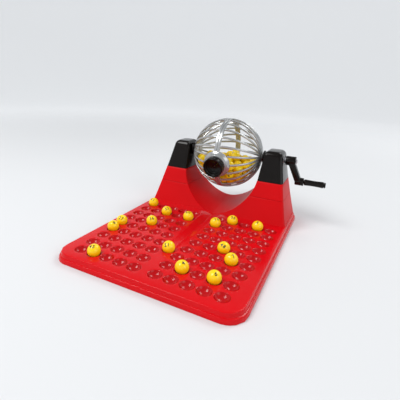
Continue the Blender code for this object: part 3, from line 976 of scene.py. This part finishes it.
    def cap(self, side: Side) -> Surface:
        """The black cap, whose top rolls in along a quarter of an ellipse.

        Args:
            side: Which side it stands on.

        Returns:
            The cap, without its bores.
        """
        low, chamfer, rise = self.cap_seam + GAP / 2, 0.3 * MM, 0.35 * MM
        crown = [
            (self.top - self.crown * (1 - math.sin(a)), self.crown_inset * (1 - math.cos(a)))
            for a in np.linspace(0, math.pi / 2, 9)
        ]
        levels = [(low, chamfer), (low + rise, 0.0), *((z, 0.0) for z in self.waist), *crown]
        return self.shell(side, levels, 4 * MM, 5.5 * MM)

    def bush(self, side: Side) -> Surface:
        """The bush in a cap: a sleeve with a flange by the cage.

        Args:
            side: Which cap it is in.

        Returns:
            The bush.
        """
        end = 79 if side is Side.LEFT else 73.6
        shape = ((8, end), (4.15, end), (4.15, 57), (9.5, 57), (10.5, 57.8), (10.5, 59.2), (8, 59.2))
        return turned(filleted(shape, 0.5), self.layout.centre, (side.value, 0, 0))

    def bored(self, obj: bpy.types.Object, side: Side, bore: Triple) -> None:
        """Cuts a round bore along the axle through a piece, and keeps the result as its mesh.

        Args:
            obj: The piece.
            side: Which side it is on.
            bore: The bore's radius, start and end in millimetres.
        """
        radius, start, end = bore
        profile = np.array([(0, start), (radius, start), (radius, end), (0, end)]) * MM
        cutter = make("bore_cutter", turned(profile, self.layout.centre, (side.value, 0, 0), 32, ring=False), [])
        step = obj.modifiers.new("bore", "BOOLEAN")
        step.object = cutter
        step.operation = "DIFFERENCE"
        step.solver = "EXACT"
        bpy.context.view_layer.update()
        cut = bpy.data.meshes.new_from_object(obj.evaluated_get(bpy.context.evaluated_depsgraph_get()))
        obj.modifiers.clear()
        obj.data = cut
        bpy.data.objects.remove(cutter)

    def build(self, palette: Palette) -> None:
        """Makes the stand's pieces and hands them to the frame; a bore is a radius, a start and an end."""
        place(make("chute_stand", self.cradle(), [palette.stand]), Body.STAND, "chute_cradle")
        bores = {Side.LEFT: ((8.3, 50, 80), (7.4, 79, 87)), Side.RIGHT: ((8.3, 50, 74), (4.8, 70, 100))}
        for side in Side:
            upright = make(f"upright_{side.word}_shell", self.upright(side), [palette.stand])
            place(upright, Body.STAND, f"upright_{side.word}")
            cap = make(f"cap_{side.word}_shell", self.cap(side), [palette.black])
            for bore in bores[side]:
                self.bored(cap, side, bore)
            place(cap, Body.STAND, f"bearing_cap_{side.word}")
            bush = make(f"bush_{side.word}_turned", self.bush(side), [palette.black])
            place(bush, Body.STAND, f"bearing_bush_{side.word}")


@dataclass
class Cage:
    """The two ribbed halves of the globe, with the outlet's collar and tube.

    The profiles are pairs of radius and height in millimetres, about the axle or about the outlet's axis.
    """

    layout: Layout
    ribs: int = 24
    rib_half: float = 1.55 * MM
    rib_depth: float = 1.3 * MM
    rib_square: float = 0.75
    rib_start: float = math.radians(9)
    rib_end: float = math.radians(86.5)
    clear: float = math.radians(22.6)
    # The next six sizes shape the black disc across the outlet's bore, which paints the shade inside the outlet.
    fingers: int = 8
    slit: float = math.radians(1.2)
    gate_r: float = 8.9 * MM
    gate_seat: float = 60.5 * MM
    gate_dish: float = 1.6 * MM
    gate_wall: float = 0.7 * MM
    hub_profile: Pairs = (
        (4.3, 51.9), (9.5, 51.7), (12.2, 52.1), (12.2, 53.3), (10.6, 54.2), (7.4, 55), (6.9, 56.5), (4.3, 56.5),
    )
    collar_profile: Pairs = (
        (12.4, 51.7), (16, 50.1), (19.3, 49), (20.2, 49.1), (20.2, 50.5), (18.6, 52.1), (17.1, 54.1), (16.3, 56.1),
        (16, 57.3), (12.4, 57.3),
    )
    tube_profile: Pairs = (
        (8.7, 52.3), (12.1, 52.3), (12.1, 57.8), (14.9, 57.8), (14.9, 66.6), (14.2, 68), (12.9, 68), (12.3, 65.6),
        (10.8, 65.2), (10.3, 62.6), (8.7, 62.2),
    )

    def rib_grids(self, side: Side) -> list[Surface]:
        """Meridian ribs: a rounded section carried along a circle from the hub to the band or to the collar.

        Args:
            side: Which half they belong to.

        Returns:
            A surface for each rib.
        """
        middle = self.layout.cage_r - self.rib_depth
        pole = np.array([side.value, 0.0, 0])
        phi = np.linspace(0, CIRCLE, 12, endpoint=False)[:, None, None]
        deep, wide = (
            np.sign(wave) * np.abs(wave) ** self.rib_square * size
            for wave, size in ((np.cos(phi), self.rib_depth), (np.sin(phi), self.rib_half))
        )
        surfaces = []
        for k in range(self.ribs):
            turn = CIRCLE * k / self.ribs
            end = self.rib_end
            if math.cos(turn) > math.cos(self.clear):
                end = math.asin(min(1.0, math.cos(self.clear) / math.cos(turn)))
            polar = np.linspace(self.rib_start, end, 34)[None, :, None]
            spoke = self.layout.spokes(turn)
            radial = np.cos(polar) * pole + np.sin(polar) * spoke
            across = np.cross(np.cos(polar) * spoke - np.sin(polar) * pole, radial)
            grid = self.layout.centre + radial * (middle + deep) + across * wide
            surfaces.append(woven(grid, close_u=True, caps=True))
        return surfaces

    def band(self, side: Side) -> Surface:
        """Half of the middle band: a rounded flat section carried round the axle, open where the outlet is.

        Args:
            side: Which half it belongs to.

        Returns:
            The half band.
        """
        out, wall = self.layout.cage_r / MM, 2.6
        shape = ((0.15, out - wall), (0.15, out - 0.45), (0.55, out), (4.2, out - 0.15), (4.2, out - wall - 0.1))
        section = filleted(shape, 0.45)
        spoke = self.layout.spokes(np.linspace(self.clear, CIRCLE - self.clear, 97))
        grid = spoke[None] * section[:, None, 1:2]
        grid[..., 0] = section[:, None, 0] * side.value
        grid = grid + self.layout.centre
        return woven(grid[::-1] if side is Side.LEFT else grid, close_u=True, caps=True)

    def gate(self) -> list[Surface]:
        """Painted shade in the outlet's bore: a black dished disc across it, in thin sectors parted by slits."""
        out, first = self.layout.outlet, np.array([1.0, 0, 0])
        second = np.cross(out, first)
        radius = np.linspace(0.5 * MM, self.gate_r, 7)
        front = self.gate_seat - self.gate_dish * (1 - (radius / self.gate_r) ** 2)
        radius = np.concatenate([radius, radius[::-1]])[:, None, None]
        height = np.concatenate([front, front[::-1] - self.gate_wall])[:, None, None]
        pitch = CIRCLE / self.fingers
        surfaces = []
        for k in range(self.fingers):
            angle = np.linspace(k * pitch + self.slit, (k + 1) * pitch - self.slit, 7)[None, :, None]
            spoke = np.cos(angle) * first + np.sin(angle) * second
            surfaces.append(woven(self.layout.centre + radius * spoke + height * out, close_u=True, caps=True))
        return surfaces

    def build(self, palette: Palette) -> None:
        """Makes the cage's pieces and hands them to the frame."""
        centre, outlet = self.layout.centre, self.layout.outlet
        for side in Side:
            hub = turned(filleted(self.hub_profile, 0.6), centre, (side.value, 0, 0))
            surface = join([*self.rib_grids(side), self.band(side), hub])
            half = make(f"cage_{side.word}_ribs", surface, [palette.silver])
            place(half, Body.CAGE, f"cage_half_{side.word}")
        collar = turned(filleted(self.collar_profile, 0.6), centre, outlet, 64)
        place(make("collar_turned", collar, [palette.silver]), Body.CAGE, "outlet_collar")
        # The black disc across the bore goes with the tube: painted shade in the outlet.
        tube = join([turned(filleted(self.tube_profile, 0.5), centre, outlet, 64), *self.gate()])
        place(make("tube_turned", tube, [palette.black]), Body.CAGE, "outlet_tube")


@dataclass
class Crank:
    """The crank arm, its pin and the grip that turns on it.

    The profiles are pairs of radius and height in millimetres, and roll holds an edge's as (inset, height).
    """

    layout: Layout
    drop: float = 29 * MM
    reach: float = 13 * MM
    bar_x: float = 93.6 * MM
    thick: float = 9.5
    hub_end: float = 6.5 * MM
    boss_end: float = 5.5 * MM
    roll: Pairs = ((1.4, 0), (0.6, 0.25), (0.15, 0.8), (0, 1.6))
    hub: Pairs = ((4.3, 91), (6.9, 91), (6.9, 105), (1.7, 105), (1.7, 94.6), (4.3, 94.6))
    boss: Pairs = ((2.6, 107), (5.8, 107), (5.8, 119.2), (2.6, 119.2))
    rivet: Pairs = ((0, 108.8), (2.4, 108.8), (2.4, 146.9), (4.1, 146.9), (4.1, 148.2), (3.1, 149), (0, 149))

    @property
    def low(self) -> np.ndarray:
        """A point on the grip's axis."""
        return self.layout.centre - np.array([0, 0, self.drop])

    def arm(self) -> Surface:
        """The arm: a bar with round ends and rolled edges that leans out as it goes down, with a hub and a boss."""
        edge = [*self.roll, *((inset, self.thick - out) for inset, out in reversed(self.roll))]
        rings = []
        for inset, out in edge:
            outline = []
            for drop, radius, start in ((0, self.hub_end, 0), (self.drop, self.boss_end, math.pi)):
                angle = start + np.linspace(0, math.pi, 17)
                round_r = radius - inset * MM
                z = self.layout.axis_z - drop + round_r * np.sin(angle)
                outline.append(np.stack([round_r * np.cos(angle), z], axis=1))
            outline = np.concatenate(outline)
            lean = (self.layout.axis_z - outline[:, 1]) * self.reach / self.drop
            rings.append(np.column_stack([self.bar_x + lean + out * MM, outline]))
        bar = woven(np.stack(rings, axis=1), close_u=True, caps=True)
        hub, boss = (filleted(shape, 0.6) for shape in (self.hub, self.boss))
        return join([bar, turned(hub, self.layout.centre, (1, 0, 0)), turned(boss, self.low, (1, 0, 0))])

    def grip(self) -> Surface:
        """The grip: a sleeve that is a little slimmer in the middle."""
        outer = [(4.6 - 0.5 * math.sin(math.pi * s), 120.8 + 24.8 * s) for s in np.linspace(0, 1, 13)]
        shape = np.array([(2.7, 119.8), (3.8, 119.8), *outer, (3.8, 146.6), (2.7, 146.6)])
        return turned(filleted(shape, 0.5), self.low, (1, 0, 0), 40)

    def build(self, palette: Palette) -> None:
        """Makes the crank's pieces and hands them to the frame."""
        pin = turned(filleted(self.rivet, 0.4, closed=False), self.low, (1, 0, 0), 32, ring=False)
        place(make("crank_bar", self.arm(), [palette.black]), Body.CAGE, "crank_arm")
        place(make("grip_pin", pin, [palette.black]), Body.CAGE, "crank_handle_pin")
        place(make("grip_turned", self.grip(), [palette.black]), Body.GRIP, "crank_grip")


@dataclass
class Balls:
    """The numbered balls: those called, on the tray as (side, column, row), and the heap in the cage.

    pole is the angle where a ball's end discs start, line_depth the depth of its mould line as a share of its radius
    and line_half the line's half width as an angle; digit_step is the way between digits as a share of their size.
    """

    layout: Layout
    tray: Tray
    heap_count: int = 75
    heap_room: float = 44.1 * MM
    seed: int = 11
    steps: int = 1500
    still_steps: int = 500
    fall: float = 0.5 * MM
    digit_size: float = 6.2 * MM
    digit_edge: float = 0.8 * MM
    digit_step: float = 0.62
    ink_lift: float = 0.07 * MM
    pole: float = 0.001
    line_depth: float = 0.004
    line_half: float = 0.05
    called_segments: int = 40
    heap_segments: int = 26
    sharp: float = 60
    passes: int = 4
    ease: float = 0.8
    seat_rise: float = 3.25 * MM
    called: tuple[tuple[int, int, int], ...] = (
        (-1, 2, 5), (-1, 4, 3), (-1, 4, 4), (-1, 3, 0), (-1, 0, 7), (-1, 2, 7), (-1, 4, 8),
        (1, 1, 1), (1, 3, 1), (1, 2, 4), (1, 3, 3), (1, 0, 7), (1, 1, 8), (1, 3, 8),
    )

    def glyph(self, digit: int) -> Surface:
        """A digit as a flat mesh, centred, cut small enough to bend over a ball.

        Args:
            digit: The digit, from 0 to 9.

        Returns:
            Its surface.
        """
        curve = bpy.data.curves.new(f"digit_{digit}", "FONT")
        curve.body = str(digit)
        curve.size = self.digit_size
        curve.offset = 0.02 * self.digit_size
        curve.align_x = "CENTER"
        curve.align_y = "CENTER"
        curve.resolution_u = 3
        guide = bpy.data.objects.new(f"digit_{digit}", curve)
        bpy.context.scene.collection.objects.link(guide)
        bpy.context.view_layer.update()
        mesh = bpy.data.meshes.new_from_object(guide.evaluated_get(bpy.context.evaluated_depsgraph_get()))
        bm = bmesh.new()
        bm.from_mesh(mesh)
        bmesh.ops.remove_doubles(bm, verts=bm.verts, dist=WELD)
        bmesh.ops.triangulate(bm, faces=bm.faces)
        bmesh.ops.subdivide_edges(bm, edges=[e for e in bm.edges if e.calc_length() > self.digit_edge], cuts=1)
        bmesh.ops.triangulate(bm, faces=bm.faces)
        bm.verts.index_update()
        points = np.array([v.co[:] for v in bm.verts])
        faces = [[v.index for v in face.verts] for face in bm.faces]
        bm.free()
        bpy.data.objects.remove(guide)
        points[:, :2] -= (points[:, :2].min(axis=0) + points[:, :2].max(axis=0)) / 2
        return Surface(points, faces)

    def ball(
        self, centre: np.ndarray, number: int, turn: np.ndarray, glyphs: list[Surface], segments: int
    ) -> Surface:
        """A numbered ball: a sphere with a mould line, and digits that lie on it.

        Args:
            centre: The ball's centre.
            number: The number printed on it.
            turn: A rotation matrix; its third column points from the centre to the number.
            glyphs: The flat digits.
            segments: Points round the ball.

        Returns:
            The surface, with the digits in the second slot.
        """
        ball_r = self.layout.ball_r
        polar = np.linspace(math.pi - self.pole, self.pole, segments // 2 + 1)[None, :]
        around = np.linspace(0, CIRCLE, segments, endpoint=False)[:, None]
        radius = ball_r * (1 - self.line_depth * np.exp(-(((polar - math.pi / 2) / self.line_half) ** 2)))
        x, y, z = np.sin(polar) * np.cos(around), np.sin(polar) * np.sin(around), np.cos(polar) + 0 * around
        unit = np.stack([x, y, z], axis=-1)
        parts = [woven(unit * radius[..., None] @ turn.T + centre, close_u=True, caps=True)]
        text = str(number)
        for index, digit in enumerate(text):
            glyph = glyphs[int(digit)]
            x = glyph.points[:, 0] + (index - (len(text) - 1) / 2) * self.digit_step * self.digit_size
            direction = np.stack([x, glyph.points[:, 1], np.full_like(x, ball_r)], axis=1)
            direction /= np.linalg.norm(direction, axis=1, keepdims=True)
            lifted = direction * (ball_r + self.ink_lift)
            parts.append(Surface(lifted @ turn.T + centre, glyph.faces, [1] * len(glyph.faces)))
        return join(parts)

    def settled(self) -> np.ndarray:
        """Ball centres at rest in the globe: they fall a little each step, then are pushed apart and inwards.

        Returns:
            Centres relative to the globe's centre.
        """
        rng = np.random.default_rng(self.seed)
        count, room = self.heap_count, self.heap_room
        diameter = 2 * self.layout.ball_r + 0.02 * MM
        centres = rng.normal(size=(count, 3))
        centres *= (room * rng.random((count, 1)) ** (1 / 3)) / np.linalg.norm(centres, axis=1, keepdims=True)
        for step in range(self.steps):
            centres[:, 2] -= self.fall * max(0.0, 1 - step / (self.steps - self.still_steps))
            for _ in range(self.passes):
                apart = centres[:, None] - centres[None]
                length = np.linalg.norm(apart, axis=2) + np.eye(count)
                push = np.clip(diameter - length, 0, None) * (1 - np.eye(count)) * 0.5
                centres += (apart / length[..., None] * push[..., None]).sum(axis=1) * self.ease
                far = np.linalg.norm(centres, axis=1, keepdims=True)
                centres *= np.minimum(1, room / np.maximum(far, TINY))
        return centres

    @staticmethod
    def turn_to(direction: np.ndarray, spin: float) -> np.ndarray:
        """A rotation whose third column is a direction, spun about it so that the digits stand as wished.

        Args:
            direction: The direction, of any length.
            spin: The turn about it.

        Returns:
            The rotation matrix.
        """
        z = direction / np.linalg.norm(direction)
        x = np.cross(np.array([0.0, 0, 1]), z)
        x /= np.linalg.norm(x)
        turned_x = math.cos(spin) * x + math.sin(spin) * np.cross(z, x)
        return np.stack([turned_x, np.cross(z, turned_x), z], axis=1)

    def build(self, palette: Palette) -> None:
        """Makes the balls and hands them to the frame."""
        glyphs = [self.glyph(digit) for digit in range(10)]
        rng = np.random.default_rng(self.seed + 1)
        numbers = rng.permutation(np.arange(1, 91))
        spots = [self.tray.seat(*seat) for seat in self.called]
        spots.append(np.array([0, self.tray.valley_end, self.layout.deck_z]))
        for index, spot in enumerate(spots):
            tilt = np.array([0.25, -0.55, 1.0]) + rng.uniform(-0.25, 0.25, 3)
            turn = self.turn_to(tilt, rng.uniform(-0.5, 0.5))
            centre = spot + np.array([0, 0, self.seat_rise])
            surface = self.ball(centre, int(numbers[index]), turn, glyphs, self.called_segments)
            name = f"called_ball_{index + 1:02d}"
            made = make(f"{name}_numbered", surface, [palette.yellow, palette.ink], self.sharp)
            place(made, Body.STAND, name)
        parts = []
        for index, centre in enumerate(self.settled(), len(spots)):
            direction = rng.normal(size=3) + np.array([0.2, -0.8, 0.5])
            turn = self.turn_to(direction, rng.uniform(-3, 3))
            number = int(numbers[index % len(numbers)])
            parts.append(self.ball(centre + self.layout.centre, number, turn, glyphs, self.heap_segments))
        heap = make("heap_balls", join(parts), [palette.yellow, palette.ink], self.sharp)
        place(heap, Body.HEAP, "ball_heap")


# The studio


@dataclass
class Studio:
    """Floor, lights and camera.

    The camera's focal length and centre are in parts of a frame that is frame_size wide. A light is its name, place,
    power and size.
    """

    spot: Triple = (0.1625, -0.4943, 0.195)
    yaw: float = -0.4657
    pitch: float = 0.222
    roll: float = 0.0453
    focal: float = 325.0
    centre: tuple[float, float] = (180.0, 160.0)
    frame_size: float = 400.0
    floor_r: float = 2.5
    bowl_r: float = 4.0
    glow: float = 0.36
    glow_range: tuple[float, float] = (0.45, 2.2)
    air: float = 0.42
    aim: Triple = (0, -0.1, 0.05)
    lights: tuple[tuple[str, Triple, float, float], ...] = (
        ("key", (-0.7, -0.8, 1.4), 17, 0.7),
        ("fill", (1.4, -0.6, 0.8), 5, 0.9),
        ("rim", (0.5, 1.0, 1.3), 9, 0.6),
    )

    def camera(self) -> None:
        """Places the camera."""
        data = bpy.data.cameras.new("camera")
        data.sensor_width = 36
        data.lens = self.focal / self.frame_size * data.sensor_width
        data.shift_x = (self.frame_size / 2 - self.centre[0]) / self.frame_size
        data.shift_y = (self.centre[1] - self.frame_size / 2) / self.frame_size
        data.clip_start = 0.01
        cam = bpy.data.objects.new("camera", data)
        bpy.context.scene.collection.objects.link(cam)
        flat = math.cos(self.pitch)
        ahead = Vector((math.sin(self.yaw) * flat, math.cos(self.yaw) * flat, -math.sin(self.pitch)))
        right = Vector((math.cos(self.yaw), -math.sin(self.yaw), 0))
        up = right.cross(ahead)
        rolled_right = math.cos(self.roll) * right + math.sin(self.roll) * up
        rolled_up = -math.sin(self.roll) * right + math.cos(self.roll) * up
        turn = Matrix((rolled_right, rolled_up, -ahead)).transposed().to_4x4()
        cam.matrix_world = Matrix.Translation(self.spot) @ turn
        bpy.context.scene.camera = cam

    def floor(self) -> None:
        """A pale round floor that rises far out in a quarter circle, like a bowl, and glows a little out there."""
        bend = np.linspace(0, math.pi / 2, 25)[1:]
        flat = np.concatenate([[0.5 * MM], np.geomspace(0.05, self.floor_r, 30)])
        radius = np.concatenate([flat, self.floor_r + self.bowl_r * np.sin(bend)])[:, None]
        height = np.concatenate([np.zeros_like(flat), self.bowl_r * (1 - np.cos(bend))])[:, None]
        turn = np.linspace(0, CIRCLE, 96, endpoint=False)[None, :]
        grid = np.stack([radius * np.cos(turn), radius * np.sin(turn), height * np.ones_like(turn)], axis=-1)
        made = bpy.data.materials.new("pale_floor")
        made.use_nodes = True
        tree = made.node_tree
        away = node(tree, "VectorMath", {0: object_place(tree)}, operation="LENGTH").outputs["Value"]
        sockets = {
            "Base Color": (0.72, 0.73, 0.74, 1),
            "Roughness": 0.75,
            "Emission Color": (0.96, 0.98, 1, 1),
            "Emission Strength": ramp(tree, away, self.glow_range, (0.0, self.glow), smooth=True),
        }
        for name, value in sockets.items():
            fill(tree, tree.nodes["Principled BSDF"].inputs[name], value)
        make("floor", woven(grid, close_v=True), [made])

    def light(self, name: str, spot: Triple, power: float, size: float) -> None:
        """Adds a soft square light that looks at the middle of the object.

        Args:
            name: The light's name.
            spot: Its place.
            power: Its power in watts.
            size: Its side in metres.
        """
        data = bpy.data.lights.new(name, "AREA")
        data.energy = power
        data.size = size
        obj = bpy.data.objects.new(name, data)
        obj.location = spot
        obj.rotation_euler = (Vector(self.aim) - obj.location).to_track_quat("-Z", "Y").to_euler()
        bpy.context.scene.collection.objects.link(obj)

    def build(self) -> None:
        """Builds the studio."""
        self.camera()
        self.floor()
        for light in self.lights:
            self.light(*light)
        world = bpy.data.worlds.new("studio_air")
        world.use_nodes = True
        air = world.node_tree.nodes["Background"].inputs
        air["Color"].default_value = (0.9, 0.92, 0.95, 1)
        air["Strength"].default_value = self.air
        bpy.context.scene.world = world
        bpy.context.scene.view_settings.view_transform = "Standard"


def dress_frame(nodes: dict[str, bpy.types.Object], palette: Palette) -> None:
    """Gives the frame's own steel pieces their finish.

    Args:
        nodes: The frame's objects by name.
        palette: The finishes.
    """
    for name, obj in nodes.items():
        if name.startswith(("axle", "base_screw", "crank_screw")):
            obj.data.materials.clear()
            obj.data.materials.append(palette.steel)
            LOG.info("%s: zinc steel", name)


def main() -> None:
    """Builds the looks on the loaded frame."""
    logging.basicConfig(level=logging.INFO, format="%(name)s: %(message)s")
    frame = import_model()
    hinge = next(joint for joint in frame["joints"] if joint["name"] == "cage_spin")
    layout = Layout(axis_z=hinge["pos_m"][2])
    palette = Palette.build()
    tray = Tray(layout)
    for part in (tray, Stand(layout), Cage(layout), Crank(layout), Balls(layout, tray)):
        part.build(palette)
    dress_frame(frame["nodes"], palette)
    Studio().build()


if __name__ == "__main__":
    main()
